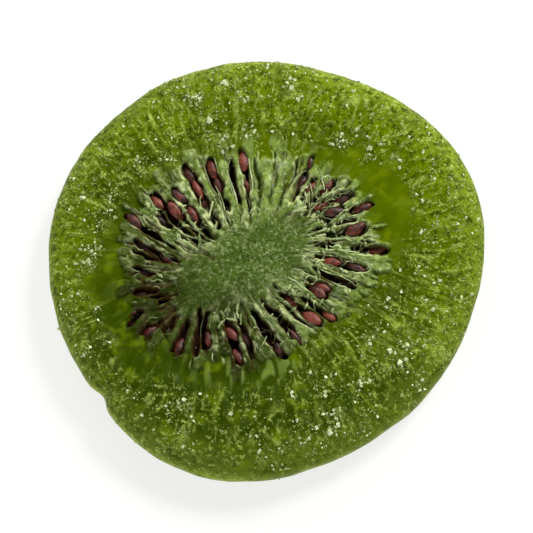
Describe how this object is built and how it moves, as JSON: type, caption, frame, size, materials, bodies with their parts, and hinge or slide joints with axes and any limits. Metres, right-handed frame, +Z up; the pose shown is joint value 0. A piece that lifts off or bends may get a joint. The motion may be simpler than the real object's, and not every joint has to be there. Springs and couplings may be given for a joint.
{
  "type": "dried kiwi slice",
  "caption": "Round slice of candied dried kiwi fruit with a pale raised core, a sunken ring of dark seeds and thin walls, and a plump rounded rim.",
  "frame": {"origin": "on the resting plane, under the middle of the slice's outline", "axes": "+Z up through the slice's thickness, +X along its longest width, +Y square to it across the slice"},
  "size_m": [0.0458, 0.0452, 0.0055],
  "materials": {
    "flesh": "translucent olive-green candied flesh, satin, frosted with fine sugar towards the rim, and sage green and dull over the core",
    "seed": "glossy dark maroon seed coats",
    "sugar": "small clear to whitish sugar crystals"
  },
  "bodies": {
    "root": {"kiwi_slice": "flesh"}
  },
  "joints": []
}
